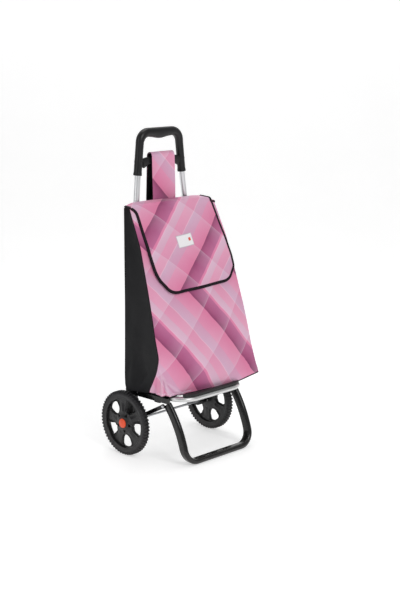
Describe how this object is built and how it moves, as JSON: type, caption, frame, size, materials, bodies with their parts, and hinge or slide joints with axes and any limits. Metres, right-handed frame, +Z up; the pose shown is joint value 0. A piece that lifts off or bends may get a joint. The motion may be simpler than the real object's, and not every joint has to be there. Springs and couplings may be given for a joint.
{
  "type": "shopping trolley",
  "caption": "Shopping trolley: bright tube chassis with moulded handle, spoked wheels, fold-up platform, foot frame and a wedge-shaped cloth bag with a lift-up flap.",
  "frame": {"origin": "on the floor, halfway across the trolley and halfway from the foot rail's front to the wheels' back", "axes": "+Z up; -Y is the trolley's front, where the foot rail is; +X is across, along the axle"},
  "size_m": [0.404, 0.332, 0.985],
  "materials": {
    "binding_tape": "woven bias tape",
    "black_cloth": "coated polyester",
    "black_paint": "black powder coat, semi-gloss",
    "black_plastic": "moulded, matt",
    "black_rubber": "matt",
    "board_cover": "stiff board, grained",
    "bright_steel": "zinc-bright, lightly brushed",
    "bush_nylon": "nylon",
    "cap_plastic": "moulded, satin-gloss",
    "chrome_tube": "bright plated, mirror-like",
    "handle_plastic": "moulded, satin-gloss",
    "label_cloth": "woven label, blank",
    "plaid_cloth": "coated polyester printed with a bias check",
    "rim_plastic": "moulded, satin",
    "silver_tube": "silver lacquer over steel",
    "tyre_rubber": "moulded foam rubber with a knobbed edge"
  },
  "bodies": {
    "chassis": {"upright_left": "chrome_tube", "upright_right": "chrome_tube", "upright_shoe_left": "black_plastic", "upright_shoe_right": "black_plastic", "axle": "bright_steel", "axle_nuts": "bright_steel", "foot_frame": "black_paint", "side_bar_left": "black_paint", "side_bar_right": "black_paint", "stay_left": "black_paint", "stay_right": "black_paint", "stay_rivets": "bright_steel", "deck_rest_left": "black_paint", "deck_rest_right": "black_paint", "deck_buffers": "black_rubber", "hinge_pins": "bright_steel", "bar_bolts": "bright_steel", "handle": "handle_plastic", "handle_grip": "handle_plastic", "handle_bridge": "handle_plastic", "handle_screws": "bright_steel", "bag_front": "plaid_cloth", "bag_back": "black_cloth", "bag_floor": "black_cloth", "bag_gusset_left": "black_cloth", "bag_gusset_right": "black_cloth", "bag_loop": "plaid_cloth", "corner_tab": "binding_tape"},
    "wheel_left": {"wheel_tyre_left": "tyre_rubber", "wheel_rim_left": "rim_plastic", "wheel_bush_left": "bush_nylon", "hub_cap_left": "cap_plastic"},
    "wheel_right": {"wheel_tyre_right": "tyre_rubber", "wheel_rim_right": "rim_plastic", "wheel_bush_right": "bush_nylon", "hub_cap_right": "cap_plastic"},
    "platform": {"platform_loop": "silver_tube", "platform_bumper": "black_rubber", "base_board": "board_cover"},
    "flap": {"flap_top": "plaid_cloth", "flap_front": "plaid_cloth", "flap_binding": "binding_tape", "flap_label": "label_cloth"}
  },
  "joints": [
    {"name": "wheel_left_spin", "type": "hinge", "parent": "chassis", "child": "wheel_left", "pos_m": [-0.1845, 0.066, 0.1], "axis": [1, 0, 0], "continuous": true},
    {"name": "wheel_right_spin", "type": "hinge", "parent": "chassis", "child": "wheel_right", "pos_m": [0.1845, 0.066, 0.1], "axis": [1, 0, 0], "continuous": true},
    {"name": "platform_fold", "type": "hinge", "parent": "chassis", "child": "platform", "pos_m": [0, 0.038, 0.1955], "axis": [-1, 0, 0], "range_deg": [0, 85], "deforming": ["bag_front", "bag_gusset_left", "bag_gusset_right", "bag_floor"]},
    {"name": "flap_lift", "type": "hinge", "parent": "chassis", "child": "flap", "pos_m": [0, 0.075, 0.771], "axis": [-1, 0, 0], "range_deg": [0, 90]}
  ]
}
